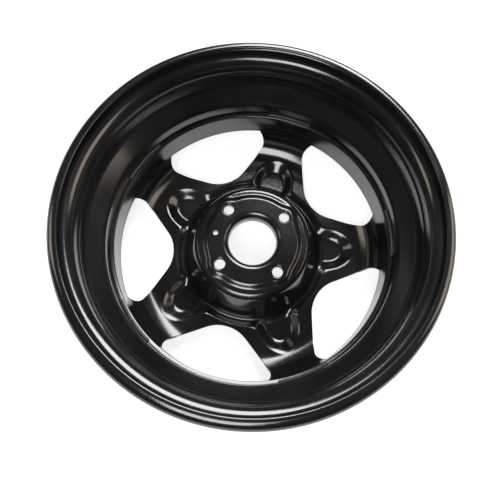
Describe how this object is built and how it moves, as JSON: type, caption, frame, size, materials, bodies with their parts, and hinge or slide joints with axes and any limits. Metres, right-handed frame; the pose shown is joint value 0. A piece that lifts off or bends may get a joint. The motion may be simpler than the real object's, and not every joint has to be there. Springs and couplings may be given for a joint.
{
  "type": "steel wheel rim",
  "caption": "Pressed steel road wheel: a rolled rim with turned-over flanges and a drop well, and a welded spoked disc with windows, a bored hub pad and bolt holes.",
  "frame": {"origin": "on the wheel axis, at the middle of the rim width", "axes": "+Z along the wheel axis towards the inboard side, +X through the middle of one spoke and one bolt hole"},
  "size_m": [0.4148, 0.4148, 0.1844],
  "materials": {
    "black_paint": "semi-gloss black paint",
    "painted_weld": "semi-gloss black paint over weld beads"
  },
  "bodies": {
    "root": {"rim": "black_paint", "disc": "black_paint", "disc_welds": "painted_weld"}
  },
  "joints": []
}
